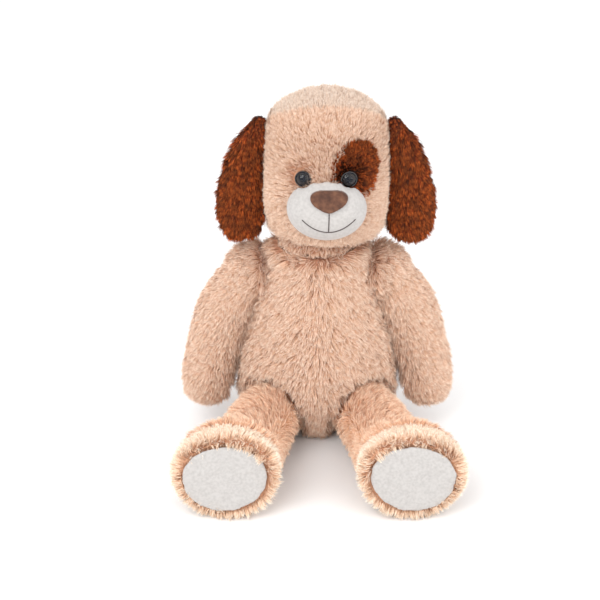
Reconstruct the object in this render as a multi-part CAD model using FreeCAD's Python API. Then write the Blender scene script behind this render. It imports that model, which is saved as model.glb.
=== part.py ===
"""A seated plush dog with long fur, hanging ears, soft limbs and smooth pads.

Units are millimetres. +Z is up, the dog faces -Y, and +X is on the left side of the dog.
Each sewn panel is a thin skin whose outer face runs at half the height of the pile.
"""
import FreeCAD, Part
import math
import os

from FreeCAD import Placement, Rotation, Vector

# ---------------------------------------------------------------- driving dimensions
SKIN = 6.0            # backing cloth and half of the pile
FILL_GAP = 0.4        # room between a skin and its filling
RUN_GAP = 0.6         # room between two pieces that turn past each other
FAR = 900.0           # larger than the toy
OVAL_POINTS = 12      # points on each oval section
OVAL_START = 37.0     # keeps the ovals' joint clear of every seam, in degrees
EGG_ANGLES = (-84, -70, -52, -30, -8, 14, 36, 56, 72, 84)
DOME_ANGLES = (25, 45, 62, 76, 85)
SHIFT_Y = 92.0        # brings the middle of the whole toy over the origin

NECK = Vector(0, 0, 296)          # the head turns and nods about this point
NECK_R = 58.0
NECK_FLOOR = 300.0                # the neck filling starts here
HEAD_SHIFT = 12.0                 # the head sits a little to one side
HEAD_ROLL = 0.5                   # and leans a little, in degrees
HEAD_MID = Vector(0, 0, 430)

SEAM_Z = 503.0                    # the ears' tops, where face, crown and back meet
SEAM_RISE = 0.77                  # how fast the face seam climbs towards the forehead
SEAM_Y = 0.0
SEAM_REACH = 200.0                # past the front of the face

SHOULDER = Vector(98, 0, 255)     # middle of the round shoulder
SHOULDER_R = 40.0
SHOULDER_PLANE = 76.5             # the arm's flat root
ARM_CLEAR = 2.5                   # room for the arm as it swings past the belly
RECESS_GAP = 1.0                  # more room round the shoulder
SWING_STEP = 18.0                 # steps down the belly's side
SWING_LOW = 20.0                  # lowest height at which the belly is followed
SWING_FLOOR = 5.0

HIP = Vector(62, -35, 51)
HIP_R = 51.0
THIGH_R = 50.0                    # room round each thigh
THIGH_SPLAY = Vector(17, -65, 0)  # the way that the thighs point
THIGH_HIGH = 12.0                 # the room reaches from this angle above level, in degrees
THIGH_LOW = -87.0                 # to this one below it
THIGH_REACH = 160.0
CROTCH_HALF = 15.5                # half of the strip between the thighs
SKIRT_Z = 74.0                    # the trunk's side ends here over the thigh

EAR_HINGE = Vector(99, -8, 496)
EAR_SEAM = 4.0                    # the ear's side seam runs this far behind its hinge

EYE_X = (-34.3, 30.5)
EYE_Y = -86.0
EYE_Z = 436.0
EYE_TURN = 12.0                   # the eyes look outwards by this angle
EYE_R = 12.0
EYE_WALL = 1.2                    # the base's wall round the iris and the dome
EYE_WALL_TOP = 3.6
EYE_PLAY = 0.1                    # between that wall and the dome
IRIS_LOW = 2.0
IRIS_TOP = 3.0
DOME_TOP = 9.5
EYE_SEAT = 0.3                    # room round and under the base
SHANK_R = 2.5
SHANK_LENGTH = 17.0
SHANK_PLAY = 0.2
WASHER_R = 10.0
WASHER_LIFT = 5.0                 # from the shank's end to the washer
WASHER_THICK = 2.0
WASHER_PLAY = 0.5

MUZZLE = Vector(0, -86, 390)
MUZZLE_AXES = Vector(58, 40, 47)
FACE_SHIFT = 2.5                  # the nose and the mouth sit a little to one side of the muzzle
MUZZLE_SKIN = 3.0
NOSE_PUFF = 5.0
NOSE_LOW = 399.0
SMILE_HALF = 38.0
SMILE_END = 384.0                 # height of the smile's ends
SMILE_LOW = 367.0                 # and of its lowest point
THREAD = 1.0                      # how far the mouth thread stands out
THREAD_HALF = 0.9

TAIL = Vector(0, 84, 52)
TAIL_R = 15.0
TAIL_GAP = 4.0
TAIL_SKIN = 4.0

# Level sections of the trunk and the head: height, half width, half depth, middle in Y.
TRUNK_ROWS = (
    (0, 78, 58, 8), (12, 98, 76, 3), (40, 112, 89, -2), (80, 117, 95, -6),
    (120, 115, 92, -6), (160, 107, 85, -4), (195, 98, 78, -1), (230, 89, 71, 0),
    (265, 82, 65, 0), (289, 77, 59.5, 0), (304, 68, 54, 0), (314, 54, 47, 0),
)
HEAD_ROWS = (
    (321, 54, 51, -5), (332, 76, 66, -7), (352, 87, 80, -8), (384, 90, 86, -9),
    (420, 90, 89, -8), (455, 89.5, 88, -5), (480, 88.5, 86, -2), (500, 84, 80, 0),
    (515, 71, 69, 2), (525, 53, 54, 3), (532, 33, 36, 4), (536, 14, 16, 4),
)
# Spines of the limbs and ears on the +X side: a point, then half width and half depth.
ARM_SPINE = (
    (Vector(98, 0, 255), 36, 33), (Vector(128, -4, 216), 38.5, 35.5), (Vector(148, -8, 172), 38.5, 35),
    (Vector(161, -12, 126), 37, 34), (Vector(168, -15, 92), 36, 34), (Vector(170, -16, 74), 35, 33),
)
LEG_SPINE = (
    (Vector(62, -35, 51), 46.5, 46.5), (Vector(79, -100, 51), 47.5, 47.5), (Vector(96, -165, 53), 49.5, 49.5),
    (Vector(110, -218, 58.5), 55, 54), (Vector(123, -254, 66), 67, 63), (Vector(130, -278, 69), 74.5, 69.4),
    (Vector(133, -294, 69.5), 73, 67), (Vector(132.5, -304, 70), 66, 59),
)
SOLE_AXES = (60.0, 54.0)
SOLE_SKIN = 4.0
EAR_SPINE = (
    (Vector(99, -8, 496), 12, 9.5), (Vector(109.5, -7, 466), 18.3, 12.5), (Vector(118.5, -5, 430), 25.5, 14),
    (Vector(124, -3, 393), 31, 14.5), (Vector(126, -2, 362), 32.3, 14), (Vector(125, -2, 344), 30.3, 13),
    (Vector(123, -2, 331), 25, 11.5),
)
TAIL_SPINE = (
    (Vector(0, 84, 52), 15, 15), (Vector(0, 98, 56), 14.5, 14.5), (Vector(0, 112, 64), 13, 13),
    (Vector(0, 121, 73), 11, 11),
)

os.makedirs("parts", exist_ok=True)


# ---------------------------------------------------------------- small helpers
def oval(middle, half_width, half_depth, along):
    """A smooth closed oval wire across the direction `along`; its width lies as near to X as it can."""
    wide = (Vector(1, 0, 0) - along * along.x).normalize()
    deep = along.cross(wide)
    points = []
    for step in range(OVAL_POINTS):
        angle = math.radians(OVAL_START + 360.0 * step / OVAL_POINTS)
        points.append(middle + wide * (half_width * math.cos(angle)) + deep * (half_depth * math.sin(angle)))
    curve = Part.BSplineCurve()
    curve.interpolate(Points=points, PeriodicFlag=True, Parameters=list(range(OVAL_POINTS + 1)))
    return Part.Wire([curve.toShape()])


def outward(solid):
    """The same solid with its faces turned outwards."""
    if solid.Volume < 0:
        solid.reverse()
    return solid


def loft(wires):
    """A smooth solid through wires; a low degree keeps it from swelling between them."""
    return outward(Part.makeLoft(wires, True, False, False, 3))


def hollow(outer, inner):
    """The skin between a closed solid and a smaller one that lies wholly inside it."""
    cavity = inner.Shells[0].copy()
    cavity.reverse()
    return Part.makeSolid(Part.makeCompound([outer.Shells[0], cavity]))


def egg(middle, axes):
    """An egg-shaped solid of level ovals with half sizes axes.x, axes.y and axes.z."""
    wires = []
    for angle in EGG_ANGLES:
        ratio = math.cos(math.radians(angle))
        height = Vector(0, 0, axes.z * math.sin(math.radians(angle)))
        wires.append(oval(middle + height, axes.x * ratio, axes.y * ratio, Vector(0, 0, 1)))
    return loft(wires)


def stack(rows, inset=0.0):
    """A solid through level ovals; an inset shrinks it evenly on every side."""
    low = rows[0][0]
    high = rows[-1][0]
    squeeze = (high - low - 2 * inset) / (high - low)
    wires = []
    for height, half_width, half_depth, middle_y in rows:
        place = Vector(0, middle_y, low + inset + (height - low) * squeeze)
        wires.append(oval(place, half_width - inset, half_depth - inset, Vector(0, 0, 1)))
    return loft(wires)


def dome_wires(point, half_width, half_depth, along, reach):
    """Shrinking ovals that close a limb's end like a dome."""
    wires = []
    for angle in DOME_ANGLES:
        ratio = math.cos(math.radians(angle))
        place = point + along * (reach * math.sin(math.radians(angle)))
        wires.append(oval(place, half_width * ratio, half_depth * ratio, along))
    return wires


def limb(spine, inset=0.0, round_start=False, round_end=True):
    """A solid through ovals along a spine, with a dome at either end if asked."""
    points = [row[0] for row in spine]
    wires = []
    if round_start:
        along = (points[1] - points[0]).normalize()
        half_width = spine[0][1] - inset
        half_depth = spine[0][2] - inset
        wires = dome_wires(points[0], half_width, half_depth, along, -half_width)[::-1]
    for i, (point, half_width, half_depth) in enumerate(spine):
        ahead = points[min(i + 1, len(points) - 1)]
        behind = points[max(i - 1, 0)]
        wires.append(oval(point, half_width - inset, half_depth - inset, (ahead - behind).normalize()))
    if round_end:
        along = (points[-1] - points[-2]).normalize()
        half_width = spine[-1][1] - inset
        half_depth = spine[-1][2] - inset
        wires += dome_wires(points[-1], half_width, half_depth, along, half_depth)
    return loft(wires)


def block(x_low, x_high, y_low, y_high, z_low, z_high):
    return Part.makeBox(x_high - x_low, y_high - y_low, z_high - z_low, Vector(x_low, y_low, z_low))


def mirrored(shape):
    return shape.mirror(Vector(0, 0, 0), Vector(1, 0, 0))


def write(name, shape):
    solids = shape.Solids
    shape = solids[0] if len(solids) == 1 else Part.makeCompound(solids)
    shape = shape.copy()
    shape.translate(Vector(0, SHIFT_Y, 0))
    shape.exportStep("parts/" + name + ".step")


def rolled(shape):
    """Puts a piece of the head, modelled on the middle plane, at the head's real lean."""
    shape = shape.copy()
    shape.rotate(HEAD_MID, Vector(0, 1, 0), HEAD_ROLL)
    shape.translate(Vector(HEAD_SHIFT, 0, 0))
    return shape


# ---------------------------------------------------------------- trunk
def trunk_half_width(height):
    """Half width of the trunk at a height, between its sections."""
    for low, high in zip(TRUNK_ROWS, TRUNK_ROWS[1:]):
        if height <= high[0]:
            part = max(0.0, (height - low[0]) / (high[0] - low[0]))
            return low[1] + part * (high[1] - low[1])
    return TRUNK_ROWS[-1][1]


def thigh_room():
    """The space on the +X side that the thigh needs from sitting to standing."""
    room = Part.makeSphere(HIP_R + RUN_GAP, HIP)
    corners = [Vector(CROTCH_HALF, HIP.y, HIP.z)]
    for angle in (THIGH_HIGH, THIGH_LOW):
        turn = Rotation(Vector(-1, 0, 0), angle)
        room = room.fuse(Part.makeCylinder(THIGH_R, THIGH_REACH, HIP, turn.multVec(THIGH_SPLAY)))
        corners.append(corners[0] + turn.multVec(Vector(0, -THIGH_REACH, 0)))
    corners.insert(2, Vector(CROTCH_HALF, corners[1].y, corners[2].z))
    wedge = Part.Face(Part.makePolygon(corners + corners[:1])).extrude(Vector(FAR, 0, 0))
    side = block(HIP.x, FAR, HIP.y - THIGH_REACH, HIP.y, -THIGH_REACH, SKIRT_Z)
    return room.fuse(outward(wedge)).fuse(side)


def make_trunk():
    recess = Part.makeCylinder(
        SHOULDER_R + RUN_GAP + RECESS_GAP, FAR, Vector(SHOULDER_PLANE - RUN_GAP, 0, SHOULDER.z), Vector(1, 0, 0))
    tail_room = Part.makeSphere(TAIL_R + TAIL_GAP, TAIL)
    neck_room = block(-FAR, FAR, -FAR, FAR, NECK_FLOOR - RUN_GAP, FAR).common(
        Part.makeSphere(NECK_R + RUN_GAP, NECK))
    cutters = [thigh_room(), mirrored(thigh_room()), recess, mirrored(recess), tail_room, neck_room]
    skin = hollow(stack(TRUNK_ROWS), stack(TRUNK_ROWS, SKIN))
    filling = stack(TRUNK_ROWS, SKIN + FILL_GAP)
    for cutter in cutters:
        skin = skin.cut(cutter)
        filling = filling.cut(cutter)
    for side, x_low, x_high in (("right", -FAR, 0), ("left", 0, FAR)):
        write("body_front_" + side, skin.common(block(x_low, x_high, -FAR, 0, -1, FAR)))
        write("body_back_" + side, skin.common(block(x_low, x_high, 0, FAR, -1, FAR)))
    write("body_filling", filling)


def make_neck():
    ball = Part.makeSphere(NECK_R, NECK)
    write("neck_filling", ball.common(block(-FAR, FAR, -FAR, FAR, NECK_FLOOR, FAR)))


# ---------------------------------------------------------------- head
def eye_place(x):
    turn = EYE_TURN if x > 0 else -EYE_TURN
    return Placement(Vector(x, EYE_Y, EYE_Z), Rotation(Vector(0, 0, 1), turn) * Rotation(Vector(1, 0, 0), 90))


def turned(points, x):
    """A solid of revolution about the eye's axis; the points are radius and distance out."""
    wire = Part.makePolygon([Vector(radius, 0, out) for radius, out in points + points[:1]])
    body = outward(Part.Face(wire).revolve(Vector(0, 0, 0), Vector(0, 0, 1), 360))
    body.Placement = eye_place(x)
    return body


def make_eye(side, x):
    rim = EYE_R - EYE_WALL
    rise = DOME_TOP - IRIS_TOP
    dome_r = (rim ** 2 + rise ** 2) / (2 * rise)
    dome = Part.makeSphere(dome_r, Vector(0, 0, DOME_TOP - dome_r))
    dome = dome.common(block(-FAR, FAR, -FAR, FAR, IRIS_TOP, FAR))
    dome.Placement = eye_place(x)
    base = turned([
        (0, -SHANK_LENGTH), (SHANK_R, -SHANK_LENGTH), (SHANK_R, 0), (EYE_R, 0), (EYE_R, EYE_WALL_TOP),
        (rim + EYE_PLAY, EYE_WALL_TOP), (rim + EYE_PLAY, IRIS_LOW), (0, IRIS_LOW)], x)
    iris = turned([(0, IRIS_LOW), (rim, IRIS_LOW), (rim, IRIS_TOP), (0, IRIS_TOP)], x)
    washer_low = -SHANK_LENGTH + WASHER_LIFT
    washer_top = washer_low + WASHER_THICK
    washer = turned([
        (SHANK_R, washer_low), (WASHER_R, washer_low), (WASHER_R, washer_top), (SHANK_R, washer_top)], x)
    for name, shape in (("dome", dome), ("iris", iris), ("base", base), ("washer", washer)):
        write("eye_" + side + "_" + name, rolled(shape))


def eye_room(x):
    """The hole for the shank and the seat for the eye's rim."""
    shank_low = -SHANK_LENGTH - SHANK_PLAY
    shank_r = SHANK_R + SHANK_PLAY
    seat_r = EYE_R + EYE_SEAT
    return turned([
        (0, shank_low), (shank_r, shank_low), (shank_r, -EYE_SEAT), (seat_r, -EYE_SEAT),
        (seat_r, FAR), (0, FAR)], x)


def washer_room(x):
    """The space in the head's filling for the washer and the shank's end."""
    low = -SHANK_LENGTH - WASHER_PLAY
    room_r = WASHER_R + WASHER_PLAY
    return turned([(0, low), (room_r, low), (room_r, 0), (0, 0)], x)


def muzzle_dome(grow):
    return egg(MUZZLE, MUZZLE_AXES + Vector(grow, grow, grow))


def on_muzzle(block_shape, low, high):
    """The part of a block that lies between two heights over the muzzle's surface."""
    return block_shape.common(muzzle_dome(high)).cut(muzzle_dome(low))


def nose_outline():
    """Broad rounded top, narrow rounded chin: half of it is given and mirrored."""
    half = [(0, 428), (12, 427.5), (21, 425), (27, 419), (25.5, 412.5), (16, 405), (6, 400.3), (0, NOSE_LOW)]
    ring = half + [(-x, z) for x, z in reversed(half[1:-1])]
    curve = Part.BSplineCurve()
    curve.interpolate([Vector(x + FACE_SHIFT, -FAR / 2, z) for x, z in ring], True)
    return outward(Part.Face(Part.Wire([curve.toShape()])).extrude(Vector(0, FAR / 2, 0)))


def smile_band():
    """A thin curved band over the muzzle: the smile's two ends and its lowest point."""
    left = Vector(FACE_SHIFT - SMILE_HALF, -FAR / 2, SMILE_END)
    low = Vector(FACE_SHIFT, -FAR / 2, SMILE_LOW)
    right = Vector(FACE_SHIFT + SMILE_HALF, -FAR / 2, SMILE_END)
    circle = Part.Arc(left, low, right).toShape().Curve
    middle = circle.Center
    radius = circle.Radius
    rings = []
    for offset in (-THREAD_HALF, THREAD_HALF):
        share = (radius + offset) / radius
        rings.append([middle + (point - middle) * share for point in (left, low, right)])
    edges = [
        Part.Arc(*rings[0]).toShape(),
        Part.makeLine(rings[0][2], rings[1][2]),
        Part.Arc(*rings[1]).toShape(),
        Part.makeLine(rings[1][0], rings[0][0]),
    ]
    band = Part.Face(Part.Wire(Part.__sortEdges__(edges)))
    return outward(band.extrude(Vector(0, FAR / 2 + MUZZLE.y, 0)))


def patch_outline():
    """The brown eye patch: blunt top, straight inner side, tapering down past the muzzle."""
    ring = [(20, 464), (17.5, 454), (16, 444), (15, 434), (17, 426), (27, 419), (40, 414), (50, 412),
            (58, 420), (64, 436), (67, 450), (64, 466), (53, 480), (42, 483.5), (31, 480), (24, 473)]
    curve = Part.BSplineCurve()
    curve.interpolate([Vector(x, -FAR / 2, z) for x, z in ring], True)
    return outward(Part.Face(Part.Wire([curve.toShape()])).extrude(Vector(0, FAR / 2, 0)))


def make_head():
    outer = stack(HEAD_ROWS)
    skin = hollow(outer, stack(HEAD_ROWS, SKIN))
    filling = stack(HEAD_ROWS, SKIN + FILL_GAP)
    socket = Part.makeSphere(NECK_R + RUN_GAP, NECK)
    for x in EYE_X:
        skin = skin.cut(eye_room(x))
        filling = filling.cut(washer_room(x))
    face_side = Part.Face(Part.makePolygon([
        Vector(-FAR / 2, SEAM_Y, 0), Vector(-FAR / 2, SEAM_Y, SEAM_Z),
        Vector(-FAR / 2, SEAM_Y - SEAM_REACH, SEAM_Z + SEAM_REACH * SEAM_RISE),
        Vector(-FAR / 2, SEAM_Y - SEAM_REACH, 0), Vector(-FAR / 2, SEAM_Y, 0)])).extrude(Vector(FAR, 0, 0))
    face = skin.common(face_side)
    rest = skin.cut(face_side)
    patch = patch_outline()
    pieces = {
        "eye_patch": face.common(patch),
        "face_panel": face.cut(patch),
        "head_crown": rest.common(block(-FAR, FAR, -FAR, FAR, SEAM_Z, FAR)),
        "head_back_right": rest.common(block(-FAR, 0, -FAR, FAR, 0, SEAM_Z)),
        "head_back_left": rest.common(block(0, FAR, -FAR, FAR, 0, SEAM_Z)),
        "head_filling": filling,
    }
    for name, shape in pieces.items():
        write(name, rolled(shape).cut(socket))
    return outer


def make_muzzle(head_outer):
    eyes = [eye_room(x) for x in EYE_X]
    panel = hollow(muzzle_dome(0), muzzle_dome(-MUZZLE_SKIN)).cut(head_outer)
    filling = muzzle_dome(-MUZZLE_SKIN - FILL_GAP / 2).cut(head_outer)
    for room in eyes:
        panel = panel.cut(room)
    nose = on_muzzle(nose_outline(), 0.0, NOSE_PUFF).cut(head_outer)
    smile = on_muzzle(smile_band(), 0.0, THREAD)
    line = block(
        FACE_SHIFT - THREAD_HALF, FACE_SHIFT + THREAD_HALF, -FAR / 2, MUZZLE.y, SMILE_LOW, NOSE_LOW)
    down = on_muzzle(line, 0.0, THREAD)
    write("muzzle_panel", rolled(panel))
    write("muzzle_filling", rolled(filling))
    write("nose", rolled(nose))
    write("smile_stitching", rolled(smile))
    write("centre_stitching", rolled(down.cut(smile).cut(nose)))


# ---------------------------------------------------------------- ears
def make_ears():
    flap = limb(EAR_SPINE, round_start=True)
    for side in ("left", "right"):
        shape = flap if side == "left" else mirrored(flap)
        shape = rolled(shape)
        seam_y = EAR_HINGE.y + EAR_SEAM
        write("ear_" + side + "_front", shape.common(block(-FAR, FAR, -FAR, seam_y, 0, FAR)))
        write("ear_" + side + "_back", shape.common(block(-FAR, FAR, seam_y, FAR, 0, FAR)))


# ---------------------------------------------------------------- arms
def swing_room(inset):
    """What the trunk needs beside an arm that swings about the shoulder's level axis."""
    reach = SHOULDER_R + RUN_GAP - inset
    plane = SHOULDER_PLANE + inset
    clear = ARM_CLEAR + inset
    points = [Vector(0, 0, SHOULDER.z), Vector(plane, 0, SHOULDER.z), Vector(plane, 0, SHOULDER.z - reach)]
    while reach < SHOULDER.z - SWING_LOW:
        height = SHOULDER.z - reach
        points.append(Vector(trunk_half_width(height) + clear, 0, height))
        reach += SWING_STEP
    points.append(Vector(trunk_half_width(SWING_LOW) + clear, 0, SWING_FLOOR))
    points.append(Vector(0, 0, SWING_FLOOR))
    face = Part.Face(Part.makePolygon(points + [points[0]]))
    return outward(face.revolve(Vector(0, 0, SHOULDER.z), Vector(1, 0, 0), 360))


def arm_solid(inset):
    ball = Part.makeSphere(SHOULDER_R - inset, SHOULDER)
    return ball.fuse(limb(ARM_SPINE, inset)).cut(swing_room(inset))


def make_arms():
    skin = hollow(arm_solid(0.0), arm_solid(SKIN))
    filling = arm_solid(SKIN + FILL_GAP)
    front = skin.common(block(0, FAR, -FAR, ARM_SPINE[1][0].y, 0, FAR))
    back = skin.common(block(0, FAR, ARM_SPINE[1][0].y, FAR, 0, FAR))
    for name, shape in (("front", front), ("back", back), ("filling", filling)):
        write("arm_left_" + name, shape)
        write("arm_right_" + name, mirrored(shape))


# ---------------------------------------------------------------- legs
def leg_solid(inset):
    spine = [list(row) for row in LEG_SPINE]
    along = (spine[-1][0] - spine[-2][0]).normalize()
    spine[-1][0] = spine[-1][0] - along * inset
    whole = limb(spine, inset, round_end=False).fuse(Part.makeSphere(HIP_R - inset, HIP))
    return whole.common(block(-FAR, FAR, -FAR, FAR, inset, FAR))


def make_legs():
    end = LEG_SPINE[-1][0]
    along = (end - LEG_SPINE[-2][0]).normalize()
    pad_wire = oval(end - along * SOLE_SKIN, SOLE_AXES[0], SOLE_AXES[1], along)
    pad_block = outward(Part.Face(pad_wire).extrude(along * FAR))
    skin = hollow(leg_solid(0.0), leg_solid(SKIN))
    filling = leg_solid(SKIN + FILL_GAP)
    sole = skin.common(pad_block)
    skin = skin.cut(pad_block)
    run = end - HIP
    behind = HIP - run
    ahead = HIP + run * 2
    up = Vector(0, 0, FAR)
    side_wire = Part.makePolygon([behind - up, ahead - up, ahead + up, behind + up, behind - up])
    across = Vector(-run.y, run.x, 0).normalize() * FAR
    outer_block = outward(Part.Face(side_wire).extrude(across))
    outer = skin.common(outer_block)
    inner = skin.cut(outer_block)
    for name, shape in (("outer", outer), ("inner", inner), ("filling", filling)):
        write("leg_left_" + name, shape)
        write("leg_right_" + name, mirrored(shape))
    write("foot_left_sole", sole)
    write("foot_right_sole", mirrored(sole))


# ---------------------------------------------------------------- tail
def tail_solid(inset):
    return limb(TAIL_SPINE, inset, round_start=True)


def make_tail():
    write("tail_cover", hollow(tail_solid(0.0), tail_solid(TAIL_SKIN)))
    write("tail_filling", tail_solid(TAIL_SKIN + FILL_GAP))


make_trunk()
make_neck()
head_outer = make_head()
make_muzzle(head_outer)
for eye_side, eye_x in (("right", EYE_X[0]), ("left", EYE_X[1])):
    make_eye(eye_side, eye_x)
make_ears()
make_arms()
make_legs()
make_tail()
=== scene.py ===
"""A seated long-pile plush dog: sewn panels under real pile, velour muzzle and pads, glossy eyes."""
import math

import bmesh
import bpy
import numpy as np
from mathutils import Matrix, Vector, kdtree
from mathutils.bvhtree import BVHTree


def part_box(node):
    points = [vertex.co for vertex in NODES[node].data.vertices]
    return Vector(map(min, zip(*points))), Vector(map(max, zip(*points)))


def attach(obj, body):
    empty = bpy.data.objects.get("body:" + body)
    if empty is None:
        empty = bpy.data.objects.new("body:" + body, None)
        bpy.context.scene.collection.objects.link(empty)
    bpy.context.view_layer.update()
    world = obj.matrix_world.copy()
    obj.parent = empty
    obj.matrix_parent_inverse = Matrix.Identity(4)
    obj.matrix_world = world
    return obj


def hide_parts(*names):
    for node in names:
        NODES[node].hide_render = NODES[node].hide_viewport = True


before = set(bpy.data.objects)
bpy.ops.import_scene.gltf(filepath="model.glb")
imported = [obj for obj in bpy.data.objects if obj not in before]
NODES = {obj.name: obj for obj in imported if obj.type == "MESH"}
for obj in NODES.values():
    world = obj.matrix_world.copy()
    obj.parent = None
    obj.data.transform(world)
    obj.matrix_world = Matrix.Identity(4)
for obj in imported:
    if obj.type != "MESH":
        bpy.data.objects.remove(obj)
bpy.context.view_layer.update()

SIDES = (("left", 1.0), ("right", -1.0))
FLOOR_GAP = 0.0004


# ---------------------------------------------------------------- camera, floor and light
def make_camera():
    aim = Vector((-0.027, 0.032, 0.232))
    half_view = 0.45
    elevation = math.radians(25.0)
    distance = 2.4
    data = bpy.data.cameras.new("camera")
    data.angle = 2.0 * math.atan(half_view / distance)
    camera = bpy.data.objects.new("camera", data)
    camera.location = aim + distance * Vector((0.0, -math.cos(elevation), math.sin(elevation)))
    camera.rotation_euler = (aim - camera.location).to_track_quat("-Z", "Y").to_euler()
    bpy.context.scene.collection.objects.link(camera)
    bpy.context.scene.camera = camera


def area_light(name, place, aim, size, power):
    data = bpy.data.lights.new(name, "AREA")
    data.size = size
    data.energy = power
    lamp = bpy.data.objects.new(name, data)
    lamp.location = place
    lamp.rotation_euler = (Vector(aim) - Vector(place)).to_track_quat("-Z", "Y").to_euler()
    bpy.context.scene.collection.objects.link(lamp)


def make_studio():
    world = bpy.data.worlds.new("studio")
    world.use_nodes = True
    background = world.node_tree.nodes["Background"]
    background.inputs["Color"].default_value = (1.0, 1.0, 1.0, 1.0)
    background.inputs["Strength"].default_value = 1.05
    bpy.context.scene.world = world
    bpy.context.scene.view_settings.view_transform = "Standard"
    bpy.context.scene.view_settings.look = "None"
    half = 6.0
    mesh = bpy.data.meshes.new("floor")
    corners = [(-half, -half, 0), (half, -half, 0), (half, half, 0), (-half, half, 0)]
    mesh.from_pydata(corners, [], [(0, 1, 2, 3)])
    floor = bpy.data.objects.new("floor", mesh)
    bpy.context.scene.collection.objects.link(floor)
    mat = bpy.data.materials.new("floor_paper")
    mat.use_nodes = True
    shader = mat.node_tree.nodes["Principled BSDF"]
    shader.inputs["Base Color"].default_value = (0.97, 0.97, 0.97, 1.0)
    shader.inputs["Roughness"].default_value = 0.9
    mesh.materials.append(mat)
    area_light("key", (-1.1, -1.7, 1.9), (0.0, 0.0, 0.25), 1.6, 34.0)
    area_light("fill", (1.6, -1.4, 1.2), (0.0, 0.0, 0.2), 1.8, 16.0)


# ---------------------------------------------------------------- materials
def linear(red, green, blue):
    """Linear colour from everyday 0 to 255 screen values."""
    out = []
    for value in (red, green, blue):
        value = value / 255.0
        out.append(value / 12.92 if value <= 0.04045 else ((value + 0.055) / 1.055) ** 2.4)
    return tuple(out)


def new_material(name, colour, roughness, **settings):
    """A material and its shader. Each setting is a shader input, with _ for a space."""
    mat = bpy.data.materials.new(name)
    mat.use_nodes = True
    shader = mat.node_tree.nodes["Principled BSDF"]
    shader.inputs["Base Color"].default_value = (*colour, 1.0)
    shader.inputs["Roughness"].default_value = roughness
    for key, value in settings.items():
        shader.inputs[key.replace("_", " ")].default_value = value
    return mat, shader


def fill_ramp(ramp, stops):
    """Gives a colour ramp its (position, colour) stops, in order."""
    elements = ramp.color_ramp.elements
    for element, (position, colour) in ((elements[0], stops[0]), (elements[1], stops[-1])):
        element.position = position
        element.color = (*colour, 1.0)
    for position, colour in stops[1:-1]:
        elements.new(position).color = (*colour, 1.0)


def noise_colour(mat, shader, scale, stops, detail=4.0):
    """Runs a noise in object space through a colour ramp into the base colour."""
    tree = mat.node_tree
    place = tree.nodes.new("ShaderNodeTexCoord")
    noise = tree.nodes.new("ShaderNodeTexNoise")
    noise.inputs["Scale"].default_value = scale
    noise.inputs["Detail"].default_value = detail
    ramp = tree.nodes.new("ShaderNodeValToRGB")
    fill_ramp(ramp, stops)
    tree.links.new(place.outputs["Object"], noise.inputs["Vector"])
    tree.links.new(noise.outputs["Fac"], ramp.inputs["Fac"])
    tree.links.new(ramp.outputs["Color"], shader.inputs["Base Color"])
    return place


def noise_bump(mat, shader, place, scale, strength, distance):
    """Roughens the surface with a fine noise in object space."""
    tree = mat.node_tree
    noise = tree.nodes.new("ShaderNodeTexNoise")
    noise.inputs["Scale"].default_value = scale
    noise.inputs["Detail"].default_value = 5.0
    bump = tree.nodes.new("ShaderNodeBump")
    bump.inputs["Strength"].default_value = strength
    bump.inputs["Distance"].default_value = distance
    tree.links.new(place.outputs["Object"], noise.inputs["Vector"])
    tree.links.new(noise.outputs["Fac"], bump.inputs["Height"])
    tree.links.new(bump.outputs["Normal"], shader.inputs["Normal"])


def velour(name, dark, light):
    """Short dense cloth, finely mottled, with a faint sheen."""
    mat, shader = new_material(name, light, 0.85, Sheen_Weight=0.35, Sheen_Roughness=0.5)
    place = noise_colour(mat, shader, 260.0, ((0.3, dark), (0.62, light)))
    noise_bump(mat, shader, place, 900.0, 0.35, 0.0006)
    return mat


def shades(name, shaded_root, middle, tip, swings, sheen):
    """Pile shades: for each swing, which is (brightness, warmth), a material for the roots, darkened as painted
    shade down in the pile, then a middle and a tip material.
    """
    made = []
    for number, (bright, warm) in enumerate(swings):
        # the roots' colour is darker than the rest: painted shade deep in the pile
        for part, colour in (("shaded_root", shaded_root), ("middle", middle), ("tip", tip)):
            red, green, blue = colour
            tint = linear(min(255, red * bright * (1 + warm)), min(255, green * bright),
                          min(255, blue * bright * (1 - warm)))
            mat, _ = new_material(f"{name}_{part}_{number}", tint, 0.8, Sheen_Weight=sheen, Sheen_Roughness=0.5,
                                  Specular_IOR_Level=0.25)
            made.append(mat)
    return made


# ---------------------------------------------------------------- padded surfaces
def mesh_arrays(obj):
    """A mesh's vertices, their normals and its triangles."""
    mesh = obj.data
    count = len(mesh.vertices)
    co = np.empty(count * 3)
    mesh.vertices.foreach_get("co", co)
    normal = np.empty(count * 3)
    mesh.vertices.foreach_get("normal", normal)
    mesh.calc_loop_triangles()
    tris = np.empty(len(mesh.loop_triangles) * 3, np.int32)
    mesh.loop_triangles.foreach_get("vertices", tris)
    return co.reshape(-1, 3), normal.reshape(-1, 3), tris.reshape(-1, 3)


def joined_copy(nodes):
    """One object that holds copies of some CAD nodes' meshes."""
    pieces = []
    for node in nodes:
        copy = bpy.data.objects.new("copy_" + node, NODES[node].data.copy())
        bpy.context.scene.collection.objects.link(copy)
        pieces.append(copy)
    bpy.ops.object.select_all(action="DESELECT")
    for piece in pieces:
        piece.select_set(True)
    bpy.context.view_layer.objects.active = pieces[0]
    if len(pieces) > 1:
        bpy.ops.object.join()
    return pieces[0]


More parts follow.
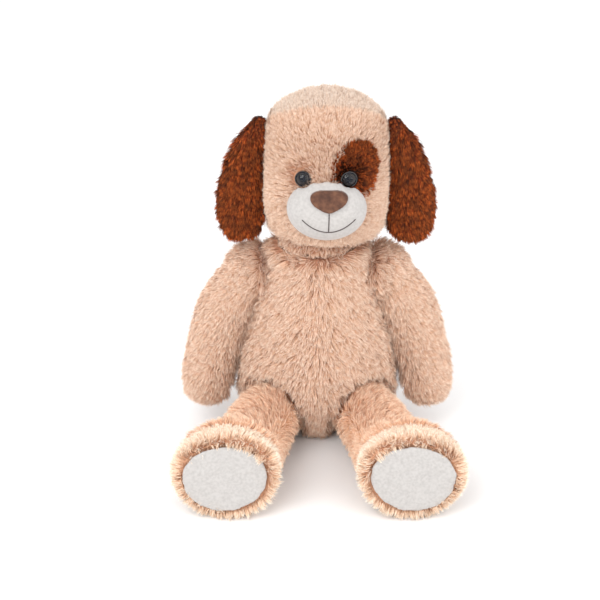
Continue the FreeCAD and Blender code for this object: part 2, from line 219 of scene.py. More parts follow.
def padded_piece(name, body, nodes, mat, inset=0.0, voxel=0.005, smooth=5):
    """One closed padded surface round some CAD nodes, which it replaces, set in from them under pile."""
    whole = joined_copy(nodes)
    remesh = whole.modifiers.new("remesh", "REMESH")
    remesh.mode = "VOXEL"
    remesh.voxel_size = voxel
    remesh.use_smooth_shade = True
    soften = whole.modifiers.new("smooth", "SMOOTH")
    soften.iterations = smooth
    soften.factor = 0.5
    seen = whole.evaluated_get(bpy.context.evaluated_depsgraph_get())
    mesh = bpy.data.meshes.new_from_object(seen)
    bpy.data.objects.remove(whole)
    mesh.name = name
    obj = bpy.data.objects.new(name, mesh)
    bpy.context.scene.collection.objects.link(obj)
    mesh.materials.clear()
    mesh.materials.append(mat)
    keep_shell(obj)
    if inset:
        co, normal, _ = mesh_arrays(obj)
        mesh.vertices.foreach_set("co", (co - normal * inset).ravel())
        mesh.update()
    lift_off_floor(mesh)
    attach(obj, body)
    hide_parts(*nodes)
    return obj


def keep_shell(obj):
    """Keeps only the outermost closed surface, and drops pockets inside it."""
    mesh = obj.data
    count = len(mesh.vertices)
    edges = np.empty(len(mesh.edges) * 2, np.int64)
    mesh.edges.foreach_get("vertices", edges)
    edges = edges.reshape(-1, 2)
    label = np.arange(count)
    while True:
        low = np.minimum(label[edges[:, 0]], label[edges[:, 1]])
        new = label.copy()
        np.minimum.at(new, edges[:, 0], low)
        np.minimum.at(new, edges[:, 1], low)
        new = new[new]
        if np.array_equal(new, label):
            break
        label = new
    names, sizes = np.unique(label, return_counts=True)
    if len(names) == 1:
        return
    keep = names[np.argmax(sizes)]
    work = bmesh.new()
    work.from_mesh(mesh)
    work.verts.ensure_lookup_table()
    extra = [work.verts[i] for i in np.nonzero(label != keep)[0]]
    bmesh.ops.delete(work, geom=extra, context="VERTS")
    work.to_mesh(mesh)
    work.free()
    mesh.update()


def lift_off_floor(mesh):
    """Keeps the vertices just above the floor."""
    co = np.empty(len(mesh.vertices) * 3)
    mesh.vertices.foreach_get("co", co)
    co = co.reshape(-1, 3)
    co[:, 2] = np.maximum(co[:, 2], FLOOR_GAP)
    mesh.vertices.foreach_set("co", co.ravel())
    mesh.update()


FOOT_DEPTH = 0.085


def lower_foot(obj, sole):
    """Flattens the top of a foot or of its pad a little."""
    co, _, _ = mesh_arrays(obj)
    middle = (sole[0] + sole[1]) / 2
    foot = np.clip((middle[1] + FOOT_DEPTH - co[:, 1]) / 0.05, 0, 1)
    above = np.maximum(co[:, 2] - middle[2], 0.0)
    co[:, 2] -= above * foot * 0.13
    obj.data.vertices.foreach_set("co", co.ravel())
    obj.data.update()


WRINKLE_HEIGHT = 0.0009


def wrinkle(pad, turn):
    """Raises slight waves on a pad, which differ from side to side by turn."""
    co, normal, _ = mesh_arrays(pad)
    x, _, z = co.T
    waves = np.sin(x * 170 + 1.4 * np.sin(z * 120)) * np.sin(z * 150 + turn + 40 * x)
    pad.data.vertices.foreach_set("co", (co + normal * (waves * WRINKLE_HEIGHT)[:, None]).ravel())
    pad.data.update()


def tree_of(obj):
    co, _, tris = mesh_arrays(obj)
    return BVHTree.FromPolygons(co.tolist(), tris.tolist())


# ---------------------------------------------------------------- pile
def unit(rows):
    """Each row at length one."""
    return rows / np.maximum(np.linalg.norm(rows, axis=1, keepdims=True), 1e-9)


REACH = 0.03


def depth_in(trees, points):
    """Signed distance of each point to the nearest of some surfaces, up to REACH, negative inside."""
    best = np.full(len(points), REACH)
    for tree in trees:
        for i, point in enumerate(points):
            hit, normal, _, distance = tree.find_nearest(point, REACH)
            if hit is None:
                continue
            side = (point[0] - hit.x) * normal.x + (point[1] - hit.y) * normal.y + (point[2] - hit.z) * normal.z
            best[i] = min(best[i], distance if side > 0 else -distance)
    return best


def sample(obj, count, rng):
    """Random places on a surface, spread evenly over its area, and the normals there."""
    co, normal, tris = mesh_arrays(obj)
    a, b, c = co[tris[:, 0]], co[tris[:, 1]], co[tris[:, 2]]
    area = np.linalg.norm(np.cross(b - a, c - a), axis=1)
    pick = np.searchsorted(np.cumsum(area) / area.sum(), rng.random(count))
    pick = np.minimum(pick, len(tris) - 1)
    u = rng.random(count)
    v = rng.random(count)
    flip = u + v > 1
    u[flip], v[flip] = 1 - u[flip], 1 - v[flip]
    w = 1 - u - v
    points = a[pick] * w[:, None] + b[pick] * u[:, None] + c[pick] * v[:, None]
    na, nb, nc = normal[tris[pick, 0]], normal[tris[pick, 1]], normal[tris[pick, 2]]
    return points, unit(na * w[:, None] + nb * u[:, None] + nc * v[:, None])


LEVELS = np.array([0.0, 0.42, 0.76, 1.0])
TAPER = (0.75, 1.0, 0.62)
TILT_SPREAD = 0.2
SOFT_SHARE = 0.14


def paths(points, normals, lay, length, lean, rng, stray):
    """Each strand's points: it leaves at the first lean angle and lies down to the second."""
    flat = unit(lay - normals * np.sum(lay * normals, axis=1, keepdims=True))
    cross = np.cross(normals, flat)
    swing = rng.normal(0.0, stray, len(points))[:, None]
    flat = unit(flat * np.cos(swing) + cross * np.sin(swing))
    tilt = rng.normal(0.0, TILT_SPREAD, len(points))
    out = [points]
    now = points
    for level, step in zip(LEVELS, np.diff(LEVELS)):
        middle = level + step / 2
        angle = np.clip(lean[:, 0] + (lean[:, 1] - lean[:, 0]) * middle + tilt, 0.1, 1.5)[:, None]
        now = now + (normals * np.cos(angle) + flat * np.sin(angle)) * (length * step)[:, None]
        out.append(now)
    return out


def cut_short(points, long, near, short, floor):
    """Lengths that fall to short beside the surfaces in near, and swell a little just before that.

    Over the shoulders they keep the share in floor."""
    gap = depth_in([TREES[n] for n in near], points)
    free = np.clip((gap - 0.0085) / 0.004, 0.0, 1.0)
    swell = 1.0 + 0.3 * np.exp(-((gap - 0.016) / 0.006) ** 2)
    free = np.maximum(free, floor * np.clip((points[:, 2] - 0.235) / 0.02, 0, 1))
    return short + (long * swell - short) * free


def tufts(points, clump, rng):
    """For each strand, the number of the strand that leads its tuft."""
    count = len(points)
    heads = rng.choice(count, max(1, count // clump), replace=False)
    tree = kdtree.KDTree(len(heads))
    for i, head in enumerate(heads):
        tree.insert(points[head], i)
    tree.balance()
    nearest = np.fromiter((tree.find(point)[1] for point in points), np.int64, count)
    return heads[nearest]


def ribbons(own, normals, long, width, rng):
    """Seven rows of vertices: two at each of a strand's first three levels, and one at its tip."""
    count = len(long)
    roll = rng.uniform(-0.9, 0.9, count)
    wide_by = width * rng.uniform(0.75, 1.25, count) * np.clip(long / 0.01, 0.55, 1.0)
    rows = []
    for k, taper in enumerate(TAPER):
        along = unit(own[k + 1] - own[k])
        across = unit(np.cross(along, normals))
        third = np.cross(across, along)
        wide = across * np.cos(roll)[:, None] + third * np.sin(roll)[:, None]
        half = wide * (wide_by * taper * 0.5)[:, None]
        rows.append(own[k] - half)
        rows.append(own[k] + half)
    rows.append(own[3])
    return rows


def strand_mesh(name, rows, mats, index):
    """A mesh with two four-sided faces and a three-sided tip for each strand."""
    count = len(rows[0])
    verts = np.stack(rows, axis=1).reshape(-1, 3)
    verts[:, 2] = np.maximum(verts[:, 2], FLOOR_GAP)
    first = np.arange(count)[:, None] * 7
    faces = [first + np.array([[0, 1, 3, 2]]), first + np.array([[2, 3, 5, 4]]), first + np.array([[4, 5, 6]])]
    loops = np.concatenate(faces, axis=1).ravel()
    starts = (np.arange(count)[:, None] * 11 + np.array([[0, 4, 8]])).ravel()
    mesh = bpy.data.meshes.new(name)
    mesh.vertices.add(len(verts))
    mesh.vertices.foreach_set("co", verts.ravel())
    mesh.loops.add(len(loops))
    mesh.loops.foreach_set("vertex_index", loops.astype(np.int32))
    mesh.polygons.add(count * 3)
    mesh.polygons.foreach_set("loop_start", starts.astype(np.int32))
    for mat in mats:
        mesh.materials.append(mat)
    mesh.polygons.foreach_set("material_index", index.astype(np.int32))
    mesh.update(calc_edges=True)
    mesh.validate()
    mesh.polygons.foreach_set("use_smooth", np.ones(count * 3, bool))
    return mesh


def shade_index(points, mine, families, seed, by_tuft, rng):
    """Each face's material: a family of shades for the strand, which drifts from place to place."""
    draw = rng.random(len(points))
    draw = draw * (1 - by_tuft) + draw[mine] * by_tuft
    drift = 0.12 * np.sin(points[mine, 0] * 310 + seed) * np.cos(points[mine, 2] * 270 + 2.0 * seed)
    family = np.clip(((draw + drift) * families).astype(int), 0, families - 1)
    # each strand's first face, at its roots, takes the darker material: painted shade in the pile
    return (family[:, None] * 3 + np.array([[0, 1, 2]])).ravel()


def pile(name, body, base, count, mats, lay, length, seed, width=0.0011, lean=(0.6, 1.15), gather=0.62,
         clump=11, stray=0.28, where=None, near=(), short=0.0045, floor=0.0, curve=1.4, by_tuft=0.0):
    """Real pile over a surface: tapered strands that gather into tufts.

    lay(points, normals) says which way it is brushed, length and lean are values or functions of the points,
    and where(points, normals) keeps or drops roots. cut_short explains near, short and floor. gather says how
    far a tuft's strands draw together, a lower curve draws them together nearer their roots, clump is their
    mean number, and by_tuft says how alike their shades are."""
    rng = np.random.default_rng(seed)
    points, normals = sample(base, count, rng)
    if where is not None:
        keep = where(points, normals)
        points, normals = points[keep], normals[keep]
    count = len(points)
    long = length(points) if callable(length) else np.full(count, length)
    long = long * rng.uniform(0.78, 1.15, count)
    if near:
        long = cut_short(points, long, near, short, floor)
    leans = lean(points) if callable(lean) else np.tile(np.array(lean), (count, 1))
    own = paths(points, normals, lay(points, normals), long, leans, rng, stray)
    mine = tufts(points, clump, rng)
    pull = gather * rng.uniform(0.6, 1.1, count)
    for k in range(1, len(LEVELS)):
        share = (pull * LEVELS[k] ** curve)[:, None]
        own[k] = own[k] * (1 - share) + own[k][mine] * share
    rows = ribbons(own, normals, long, width, rng)
    index = shade_index(points, mine, len(mats) // 3, seed, by_tuft, rng)
    mesh = strand_mesh(name, rows, mats, index)
    soft = np.repeat(normals, 7, axis=0)
    ribbon = np.repeat(unit(np.cross(unit(own[3] - own[0]), rows[1] - rows[0])), 7, axis=0)
    ribbon = ribbon * np.sign(np.sum(ribbon * soft, axis=1, keepdims=True))
    mixed = unit(soft * SOFT_SHARE + ribbon * (1 - SOFT_SHARE))
    mesh.normals_split_custom_set_from_vertices(mixed.tolist())
    obj = bpy.data.objects.new(name, mesh)
    bpy.context.scene.collection.objects.link(obj)
    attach(obj, body)


def rows_of(x, y, z, like):
    """A direction for every point, from numbers or arrays."""
    count = len(like)
    return np.stack([np.broadcast_to(v, count) for v in (x, y, z)], axis=1).astype(float)


make_camera()
make_studio()

# ---------------------------------------------------------------- the shades of pile
SOFT_SWINGS = ((0.93, 0.025), (0.975, 0.012), (1.0, 0.0), (1.02, -0.012))
# each family's first colour is for the roots, darkened as painted shade down in the pile
BEIGE = shades("beige", (210, 155, 125), (231, 191, 163), (246, 221, 201), SOFT_SWINGS, 0.15)
# the face's pile is a little darker than the body's: painted shade to offset the extra light the face catches
# from the lamps
FACE_PAINTED_SHADE = shades("face", (208, 158, 129), (227, 190, 163), (240, 214, 194), SOFT_SWINGS, 0.1)
# the thighs' own tan tone, also lightened as painted light to offset the shade on their tops under the belly
# and between the feet
THIGH_TAN_LIGHTENED = shades("tan", (220, 158, 121), (240, 192, 158), (252, 221, 195),
               ((0.93, 0.025), (0.975, 0.015), (1.0, 0.0), (1.02, -0.012)), 0.2)
RIM = shades("rim", (232, 190, 158), (245, 215, 188), (253, 240, 222),
             ((0.92, 0.025), (0.98, 0.01), (1.0, 0.0), (1.02, -0.015)), 0.15)
CREAM = shades("cream", (202, 164, 140), (217, 192, 173), (233, 215, 200),
               ((0.94, 0.02), (0.98, 0.01), (1.0, 0.0), (1.01, -0.01)), 0.1)
BROWN = shades("brown", (58, 20, 4), (100, 41, 12), (146, 72, 28),
               ((0.7, 0.0), (0.9, 0.0), (1.06, 0.02), (1.24, 0.05)), 0.0)

# the backings are darker than the pile: painted shade where they show in the gaps between strands; their noise
# mottle is the weave
shaded_cloth_beige, cloth_shader = new_material("shaded_backing_beige", linear(206, 152, 120), 0.95)
noise_colour(shaded_cloth_beige, cloth_shader, 240.0, ((0.3, linear(192, 136, 104)), (0.7, linear(216, 166, 134))))
shaded_cloth_brown, cloth_shader = new_material("shaded_backing_brown", linear(52, 20, 8), 0.95)
noise_colour(shaded_cloth_brown, cloth_shader, 240.0, ((0.3, linear(40, 14, 6)), (0.7, linear(66, 28, 12))))
white_velour = velour("velour_white", linear(172, 168, 165), linear(186, 182, 179))
brown_velour, nose_shader = new_material("velour_brown", linear(129, 88, 65), 0.8, Sheen_Weight=0.4,
                                         Sheen_Roughness=0.4)
nose_place = noise_colour(brown_velour, nose_shader, 110.0, (
    (0.3, linear(66, 36, 22)), (0.5, linear(92, 56, 38)), (0.72, linear(116, 77, 54))), 6.0)
noise_bump(brown_velour, nose_shader, nose_place, 700.0, 0.5, 0.0006)

# ---------------------------------------------------------------- padded bodies
base = {}
base["trunk"] = padded_piece("trunk_plush", "trunk", [
    "body_front_left", "body_front_right", "body_back_left", "body_back_right", "body_filling"],
    shaded_cloth_beige, inset=0.005, smooth=6)
base["neck"] = padded_piece("neck_plush", "neck", ["neck_filling"], shaded_cloth_beige, inset=0.002,
                            smooth=3)
base["head"] = padded_piece("head_plush", "head", [
    "face_panel", "eye_patch", "head_crown", "head_back_left", "head_back_right", "head_filling"],
    shaded_cloth_beige, inset=0.004, smooth=6)
base["tail"] = padded_piece("tail_plush", "tail", ["tail_cover", "tail_filling"], shaded_cloth_brown,
                            inset=0.004, voxel=0.003, smooth=4)
for side, sign in SIDES:
    base["arm_" + side] = padded_piece(f"arm_{side}_plush", f"arm_{side}", [
        f"arm_{side}_front", f"arm_{side}_back", f"arm_{side}_filling"],
        shaded_cloth_beige, inset=0.005)
    base["leg_" + side] = padded_piece(f"leg_{side}_plush", f"leg_{side}", [
        f"leg_{side}_outer", f"leg_{side}_inner", f"leg_{side}_filling"],
        shaded_cloth_beige, inset=0.0075)
    base["ear_" + side] = padded_piece(f"ear_{side}_plush", f"ear_{side}", [
        f"ear_{side}_front", f"ear_{side}_back"],
        shaded_cloth_brown, inset=0.004, voxel=0.004)
    base["pad_" + side] = padded_piece(f"foot_{side}_pad", f"leg_{side}", [f"foot_{side}_sole"],
                                       white_velour, voxel=0.0022, smooth=3)
base["muzzle"] = padded_piece("muzzle_plush", "head", ["muzzle_panel", "muzzle_filling"],
                              white_velour, voxel=0.0025, smooth=3)
base["nose"] = padded_piece("nose_plush", "head", ["nose"], brown_velour, voxel=0.0012,
                            smooth=4)
for side, sign in SIDES:
    wrinkle(base["pad_" + side], sign)
    for name in ("leg_", "pad_"):
        lower_foot(base[name + side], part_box(f"foot_{side}_sole"))
TREES = {name: tree_of(obj) for name, obj in base.items()}


# ---------------------------------------------------------------- which way the pile is brushed
def middle_of(*nodes):
    """The middle of the box round some CAD nodes."""
    lows = np.array([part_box(n)[0] for n in nodes])
    highs = np.array([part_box(n)[1] for n in nodes])
    return (lows.min(0) + highs.max(0)) / 2


MUZZLE_MID = middle_of("muzzle_panel")
EYES = [middle_of("eye_left_base"), middle_of("eye_right_base")]
EYE_HOLE = 0.0119
NECK_Y = middle_of("neck_filling")[1]
HEAD_X = middle_of("head_crown")[0]
NECK = np.array([0.0, NECK_Y, 0.296])
# the crown's seam lies in a plane that is SEAM_Z high over the neck, and climbs towards the face
SEAM_Z = 0.503
SEAM_SLOPE = 0.77


def body_lay(points, normals):
    """Down, and outwards from the middle seam."""
    x, y, z = points.T
    up = np.clip((z - 0.06) / 0.2, 0, 1)
    out = np.tanh(x / 0.02) * np.where(y < NECK_Y, 0.35 + 0.5 * up, 0.3)
    return rows_of(out, 0.0, -1.0, points)


def head_lay(points, normals):
    """Outwards from the muzzle on the face, down at the back, and backwards over the crown."""
    x, y, z = points.T
    front = y < NECK_Y + 0.01
    dx = x - MUZZLE_MID[0]
    dz = z - MUZZLE_MID[2] - 0.01
    lay = rows_of(dx, 0.0, np.where(dz > 0, dz * 0.8, dz), points)
    lay[~front] = (0.0, 0.2, -1.0)
    top = (z - SEAM_Z > SEAM_SLOPE * (NECK_Y - y)) & (z > SEAM_Z - 0.01)
    lay[top] = (0.0, 0.8, -0.25)
    return lay


def patch_lay(points, normals):
    """Outwards from the left eye."""
    x, _, z = points.T
    return rows_of(x - EYES[0][0] - 0.004, 0.0, (z - EYES[0][2]) * 0.9 + 0.003, points)


def off_face(points):
    """False where an eye or the muzzle sits."""
    keep = np.ones(len(points), bool)
    for eye in EYES:
        away = np.hypot(points[:, 0] - eye[0], points[:, 2] - eye[2])
        keep &= (away > EYE_HOLE) | (points[:, 1] > eye[1] + 0.05)
    outside = depth_in([TREES["muzzle"]], points) > 0.0005
    return keep & outside


# the brown patch's outline in front view, as (x, z) in mm on a head that doesn't lean yet
PATCH_RING = ((15, 465), (12, 454), (10.5, 444), (10, 434), (13, 426), (27, 419), (40, 414), (50, 412),
              (58, 420), (64, 436), (67, 450), (64, 466), (53, 480), (42, 484.5), (30, 482), (21, 475))
HEAD_LEAN = math.radians(0.5)
LEAN_PIVOT_Z = 430.0
LEAN_SHIFT_X = 12.0


def in_patch(points):
    """Whether a point of the face is on the brown patch."""
    ring = []
    for x, z in PATCH_RING:
        up = z - LEAN_PIVOT_Z
        ring.append(((x * math.cos(HEAD_LEAN) + up * math.sin(HEAD_LEAN) + LEAN_SHIFT_X) / 1000.0,
                     (-x * math.sin(HEAD_LEAN) + up * math.cos(HEAD_LEAN) + LEAN_PIVOT_Z) / 1000.0))
    ring = np.array(ring)
    inside = np.zeros(len(points), bool)
    x, z = points[:, 0], points[:, 2]
    for (x0, z0), (x1, z1) in zip(ring, np.roll(ring, -1, axis=0)):
        crosses = (z0 > z) != (z1 > z)
        edge = x0 + (z - z0) / (z1 - z0 + 1e-12) * (x1 - x0)
        inside ^= crosses & (x < edge)
    return inside & (points[:, 1] < NECK_Y - 0.01)


def brown_under_patch():
    """Makes the head's cloth brown under the patch's pile, in the backing's darker tone that is painted shade
    between the strands.
    """
    mesh = base["head"].data
    mesh.materials.append(shaded_cloth_brown)
    middles = np.array([polygon.center for polygon in mesh.polygons])
    mesh.polygons.foreach_set("material_index", in_patch(middles).astype(np.int32))


brown_under_patch()

# ---------------------------------------------------------------- trunk and neck pile
LIMBS = ["arm_left", "arm_right", "leg_left", "leg_right"]
QUARTERS = ((True, 1), (True, -1), (False, 1), (False, -1))


def quarter_name(front_word, back_word, front, side):
    return (front_word if front else back_word) + ("_left" if side > 0 else "_right")


def trunk_pile(seed, front, side):
    """One panel's pile. None grows on the flat seat or in the hollow for the neck."""
    def here(points, normals):
        quarter = ((points[:, 1] < NECK_Y) == front) & (points[:, 0] * side > 0)
        off_hollow = np.sum((points - NECK) * normals, axis=1) > -0.005
        return quarter & (normals[:, 2] > -0.995) & off_hollow

    pile("pile_body_" + quarter_name("front", "back", front, side), "trunk", base["trunk"], 120000, BEIGE,
         body_lay, 0.022, seed, width=0.001, lean=(0.7, 1.3), gather=0.68, clump=14, stray=0.34, floor=0.55,
         where=here, near=LIMBS + ["tail"])


for number, (front, side) in enumerate(QUARTERS):
    trunk_pile(11 + number, front, side)
pile("pile_neck", "neck", base["neck"], 16000, BEIGE, lambda p, n: rows_of(0.0, 0.0, -1.0, p), 0.009, 19,
     lean=(0.5, 1.0), where=lambda p, n: (p[:, 2] > 0.304) & (p[:, 2] < 0.345))

# ---------------------------------------------------------------- head pile
CROWN_DROP = 0.018
SOCKET_RADIUS = 0.0635


def above_seam(points):
    """Whether a point is behind and above the crown's sloping seam, whose edge is ragged."""
    ragged = 0.005 * np.sin(points[:, 0] * 2100 + points[:, 1] * 1700) * np.cos(points[:, 0] * 900)
    return points[:, 2] - SEAM_Z + CROWN_DROP + ragged > SEAM_SLOPE * (NECK_Y - points[:, 1])


def on_crown(points):
    """Whether a point of the head has the crown's paler pile."""
    return above_seam(points) & (points[:, 2] > SEAM_Z - CROWN_DROP)


def near_eye(points):
    """Falls to about a half beside the eyes, where the pile is short."""
    share = np.ones(len(points))
    for eye in EYES:
        away = np.linalg.norm(points - eye, axis=1)
        share = np.minimum(share, 0.5 + 0.5 * np.clip((away - 0.013) / 0.014, 0, 1))
    return share


def head_length(points):
    """Longest under the chin and jaw, and a little longer at the back."""
    back = np.clip((points[:, 1] - NECK_Y) / 0.05, 0, 1)
    chin = np.clip((0.355 - points[:, 2]) / 0.03, 0, 1)
    beside = np.clip((points[:, 1] - NECK_Y + 0.06) / 0.03, 0, 1)
    long = 0.0135 + 0.003 * back + 0.011 * chin * (0.25 + 0.75 * beside) + 0.0015 * above_seam(points)
    return long * near_eye(points)


def head_lean(points):
    """Nearly upright beside the eyes."""
    share = (near_eye(points)[:, None] - 0.5) * 2.0
    return np.array([[0.15, 0.5]]) * (1 - share) + np.array([[0.75, 1.2]]) * share


def head_pile(seed, front, side):
    """A quarter of the head's beige pile, off the eyes, muzzle, patch, crown and neck's socket."""
    def here(points, normals):
        quarter = ((points[:, 1] < NECK_Y) == front) & ((points[:, 0] - HEAD_X) * side > 0)
        off_neck = np.linalg.norm(points - NECK, axis=1) > SOCKET_RADIUS
        return quarter & off_face(points) & ~in_patch(points) & ~on_crown(points) & off_neck

    pile("pile_" + quarter_name("face", "head_back", front, side), "head", base["head"], 100000, FACE_PAINTED_SHADE, head_lay,
         head_length, seed, width=0.0008, lean=head_lean, where=here, gather=0.62, clump=13, stray=0.36)


for number, (front, side) in enumerate(QUARTERS):
    head_pile(31 + number, front, side)
pile("pile_crown", "head", base["head"], 130000, CREAM, head_lay, head_length, 41, width=0.0009,
     lean=(1.05, 1.4), where=lambda p, n: on_crown(p), gather=0.6, clump=12, stray=0.34)
pile("pile_patch", "head", base["head"], 260000, BROWN, patch_lay, lambda p: 0.0135 * near_eye(p), 43,
     width=0.0011, lean=head_lean, gather=0.7, clump=16, by_tuft=0.5,
     where=lambda p, n: in_patch(p) & off_face(p))

# ---------------------------------------------------------------- limbs, ears and tail
def arm_pile(side, sign, seed):
    """Brushed down and outwards, and more outwards over the shoulder."""
    middle_y = middle_of(f"arm_{side}_front", f"arm_{side}_back")[1]

    def lay(points, normals):
        shoulder = np.clip((points[:, 2] - 0.225) / 0.03, 0, 1)
        return rows_of((0.75 + 0.25 * shoulder) * sign, -0.12, -1.0 + 0.4 * shoulder, points)

    for part, front in (("front", True), ("back", False)):
        pile(f"pile_arm_{side}_{part}", f"arm_{side}", base["arm_" + side], 42000, BEIGE, lay, 0.021,
             seed + front, width=0.001, lean=(0.75, 1.32), gather=0.68, clump=14, stray=0.34,
             where=lambda p, n: (p[:, 1] < middle_y) == front, near=["trunk"], short=0.004)


def over_pad(points, pad):
    """True just above a foot's pad, where the pile falls over the pad's top edge."""
    out = points - pad
    away = np.hypot(out[:, 0], out[:, 2])
    return (away < 0.064) & (out[:, 2] > 0.024) & (out[:, 1] < 0.014)


HIP_X = 0.062
PAD_HIGH, PAD_LOW, PAD_WIDE = 0.0485, 0.0545, 0.0605
RIM_DEPTH = 0.045


def leg_pile(side, sign, seed):
    """The thigh's pile lies sideways. The foot's stands out round its pad, and is paler."""
    pad = middle_of(f"foot_{side}_sole")
    pad_axis = unit(np.array([[0.19 * sign, -0.98, 0.06]]))[0]
    cut_x = 0.5 * (pad[0] + HIP_X * sign)

    def on_foot(points):
        """From 0 on the thigh to 1 on the foot."""
        return np.clip((pad[1] + FOOT_DEPTH - points[:, 1]) / 0.04, 0, 1)

    def lay(points, normals):
        foot = on_foot(points)[:, None]
        out = points - pad
        out[:, 1] = 0.0
        out[over_pad(points, pad)] *= -1.0
        thigh = rows_of(1.0 * sign, 0.25, -0.5, points)
        return thigh * (1 - foot) + unit(out) * foot + rows_of(0, 0.4, 0, points) * foot

    def lean(points):
        foot = on_foot(points)
        rim = np.clip((pad[1] + 0.03 - points[:, 1]) / 0.02, 0, 1)
        leans = np.stack([0.8 - 0.2 * foot - 0.3 * rim, 1.3 - 0.15 * foot - 0.35 * rim], axis=1)
        leans[over_pad(points, pad)] = (0.05, 1.1)
        return leans

    def foot_length(points):
        """Shorter on the foot's top than round its sides."""
        top = np.clip((points[:, 2] - pad[2] - 0.02) / 0.03, 0, 1)
        return 0.0175 - 0.0045 * top

    def off_pad(points):
        """False behind the pad, so that no pile pokes through it."""
        away = points - pad
        across = away - (away @ pad_axis)[:, None] * pad_axis
        high = across[:, 2] / np.where(across[:, 2] > 0, PAD_HIGH, PAD_LOW)
        wide = np.hypot(across[:, 0], across[:, 1]) / PAD_WIDE
        return (np.hypot(high, wide) > 1.0) | (away @ pad_axis < -0.03)

    for part, outer in (("outer", True), ("inner", False)):
        def this_half(points):
            return ((points[:, 0] - cut_x) * sign > 0) == outer

        pile(f"pile_leg_{side}_{part}", f"leg_{side}", base["leg_" + side], 60000, THIGH_TAN_LIGHTENED, lay, 0.021,
             seed + 5 + outer, lean=lean, width=0.001, gather=0.66, clump=14, stray=0.34,
             where=lambda p, n: this_half(p) & (p[:, 1] > pad[1] + RIM_DEPTH), near=["trunk"], short=0.004)
        pile(f"pile_foot_{side}_{part}", f"leg_{side}", base["leg_" + side], 80000, RIM, lay, foot_length,
             seed + 9 + outer, lean=lean, width=0.0009, gather=0.55, clump=9, stray=0.42,
             where=lambda p, n: this_half(p) & off_pad(p) & (p[:, 1] <= pad[1] + RIM_DEPTH))


def ear_pile(side, sign, seed):
    """Brushed down in flat locks, shorter at the top and longer at the bottom edge."""
    middle = middle_of(f"ear_{side}_front", f"ear_{side}_back")
    low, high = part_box(f"ear_{side}_front")
    spread = 0.6 if sign > 0 else 0.3

    def lay(points, normals):
        out = np.clip((points[:, 0] - middle[0]) * sign / 0.03, -0.3, 1.0)
        return rows_of(sign * (0.15 + spread * out), 0.0, -1.0, points)

    def length(points):
        fringe = np.clip((low.z + 0.03 - points[:, 2]) / 0.03, 0, 1)
        top = np.clip((high.z - 0.002 - points[:, 2]) / 0.03, 0.3, 1)
        return (0.0225 + 0.005 * fringe) * top

    for part, front in (("front", True), ("back", False)):
        pile(f"pile_ear_{side}_{part}", f"ear_{side}", base["ear_" + side], 36000, BROWN, lay, length,
             seed + 13 + front, width=0.0012, lean=(0.85, 1.36), gather=0.76, clump=18,
             stray=0.2, curve=0.95, by_tuft=0.5, where=lambda p, n: (p[:, 1] < middle[1]) == front)


for side, sign in SIDES:
    side_seed = 60 if sign > 0 else 80
    arm_pile(side, sign, side_seed)
    leg_pile(side, sign, side_seed)
    ear_pile(side, sign, side_seed)
pile("pile_tail", "tail", base["tail"], 12000, BROWN, lambda p, n: rows_of(0.0, 0.8, 0.6, p), 0.014, 97,
     near=["trunk"])


# ---------------------------------------------------------------- mouth
def tube(points, radius, sides=8):
    """A tube along points, narrow at both ends."""
    points = np.array(points)
    verts, faces = [], []
    count = len(points)
    for i, point in enumerate(points):
        ahead = points[min(i + 1, count - 1)] - points[max(i - 1, 0)]
        ahead = ahead / np.linalg.norm(ahead)
        one = np.cross(ahead, (0.0, 1.0, 0.0))
        one = one / np.linalg.norm(one)
        two = np.cross(ahead, one)
        size = radius * (0.55 if i in (0, count - 1) else 1.0)
        for step in range(sides):
            angle = 2 * math.pi * step / sides
            verts.append(tuple(point + size * (one * math.cos(angle) + two * math.sin(angle))))
    for i in range(count - 1):
        for step in range(sides):
            here = i * sides + step
            there = i * sides + (step + 1) % sides
            faces.append((here, there, there + sides, here + sides))
    faces.append(tuple(range(sides))[::-1])
    faces.append(tuple((count - 1) * sides + step for step in range(sides)))
    return verts, faces


def on_muzzle(x, z, lift):
    """The point of the muzzle straight behind (x, z), lifted off it towards the front."""
    hit = TREES["muzzle"].ray_cast(Vector((x, -1.0, z)), Vector((0, 1, 0)))[0]
    return np.array([hit.x, hit.y - lift, hit.z])


STITCH_LENGTH = 0.0034
STITCH_RADIUS = 0.0008


def stitches(name, line, node, mat):
    """A row of tight stitches along a line of (x, z) places. Each is a tube that bulges in its middle."""
    line = np.array(line)
    run = np.concatenate([[0.0], np.cumsum(np.linalg.norm(np.diff(line, axis=0), axis=1))])
    total = run[-1]
    count = max(1, int(round(total / STITCH_LENGTH)))
    lifts = np.array([0.0, 0.0004, 0.0005, 0.0004, 0.0])
    verts, faces = [], []
    for number in range(count):
        ends = (number + np.array([-0.06, 0.2, 0.5, 0.8, 1.06])) / count * total
        places = np.stack([np.interp(ends, run, line[:, 0]), np.interp(ends, run, line[:, 1])], axis=1)
        points = [on_muzzle(x, z, lift) for (x, z), lift in zip(places, lifts)]
        more_verts, more_faces = tube(points, STITCH_RADIUS)
        offset = len(verts)
        verts += more_verts
        faces += [tuple(i + offset for i in face) for face in more_faces]
    mesh = bpy.data.meshes.new(name)
    mesh.from_pydata(verts, [], faces)
    mesh.polygons.foreach_set("use_smooth", np.ones(len(faces), bool))
    mesh.materials.append(mat)
    obj = bpy.data.objects.new(name, mesh)
    bpy.context.scene.collection.objects.link(obj)
    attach(obj, "head")
    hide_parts(node)


thread, thread_shader = new_material("thread", linear(58, 44, 42), 0.55, Sheen_Weight=0.2)
thread_place = noise_colour(thread, thread_shader, 600.0, ((0.3, linear(44, 32, 32)),
                                                           (0.7, linear(72, 56, 52))))
noise_bump(thread, thread_shader, thread_place, 1500.0, 0.4, 0.0003)

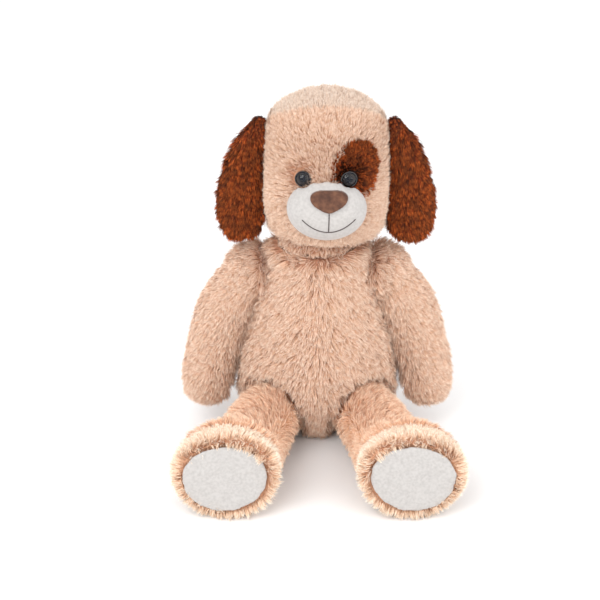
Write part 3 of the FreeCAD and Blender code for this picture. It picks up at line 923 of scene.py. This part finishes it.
def smile_line():
    """The smile as (x, z) places: a parabola inside its CAD node's box."""
    low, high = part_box("smile_stitching")
    middle = (low.x + high.x) / 2
    half = (high.x - low.x) / 2
    drop = high.z - low.z
    line = []
    for step in range(41):
        across = -1.0 + step / 20.0
        line.append((middle + across * half * 0.99, low.z + 0.0009 + drop * 0.94 * across ** 2))
    return line


stitches("smile_thread", smile_line(), "smile_stitching", thread)
line_low, line_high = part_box("centre_stitching")
stitches("centre_thread", [(line_high.x - 0.0006, line_high.z + 0.001), (line_low.x + 0.0008, line_low.z)],
         "centre_stitching", thread)


# ---------------------------------------------------------------- eyes and washers
def repaint(node, mat):
    """Gives a CAD node a single material."""
    NODES[node].data.materials.clear()
    NODES[node].data.materials.append(mat)
    for polygon in NODES[node].data.polygons:
        polygon.material_index = 0


IRIS_RADIUS = 0.0108


def iris_material(node):
    """Rings round the middle of an eye: dark pupil, grey-brown ring, near-black rim."""
    mat, shader = new_material("iris_" + node, (0.02, 0.02, 0.03), 0.5, Specular_IOR_Level=0.05)
    tree = mat.node_tree
    place = tree.nodes.new("ShaderNodeTexCoord")
    away = tree.nodes.new("ShaderNodeVectorMath")
    away.operation = "DISTANCE"
    away.inputs[1].default_value = tuple(middle_of(node))
    scale = tree.nodes.new("ShaderNodeMath")
    scale.operation = "MULTIPLY"
    scale.inputs[1].default_value = 1.0 / IRIS_RADIUS
    ramp = tree.nodes.new("ShaderNodeValToRGB")
    fill_ramp(ramp, ((0.0, linear(3, 6, 16)), (0.34, linear(5, 9, 20)), (0.46, linear(14, 13, 14)),
                     (0.54, linear(70, 62, 57)), (0.78, linear(84, 74, 67)), (0.90, linear(8, 7, 7))))
    tree.links.new(place.outputs["Object"], away.inputs[0])
    tree.links.new(away.outputs["Value"], scale.inputs[0])
    tree.links.new(scale.outputs["Value"], ramp.inputs["Fac"])
    tree.links.new(ramp.outputs["Color"], shader.inputs["Base Color"])
    return mat


eye_glass, _ = new_material("eye_glass", (0.008, 0.010, 0.018), 0.04, Alpha=0.35, Coat_Weight=0.6,
                            Coat_Roughness=0.02)
eye_black, black_shader = new_material("eye_black", linear(18, 17, 19), 0.22, Coat_Weight=0.6,
                                       Coat_Roughness=0.08)
noise_colour(eye_black, black_shader, 300.0, ((0.3, linear(14, 13, 15)), (0.7, linear(24, 22, 24))))
washer_mat, washer_shader = new_material("washer", linear(225, 225, 220), 0.5)
noise_colour(washer_mat, washer_shader, 200.0, ((0.3, linear(215, 215, 210)), (0.7, linear(232, 232, 228))))
for side, sign in SIDES:
    repaint(f"eye_{side}_dome", eye_glass)
    repaint(f"eye_{side}_iris", iris_material(f"eye_{side}_iris"))
    repaint(f"eye_{side}_base", eye_black)
    repaint(f"eye_{side}_washer", washer_mat)

bpy.context.view_layer.update()
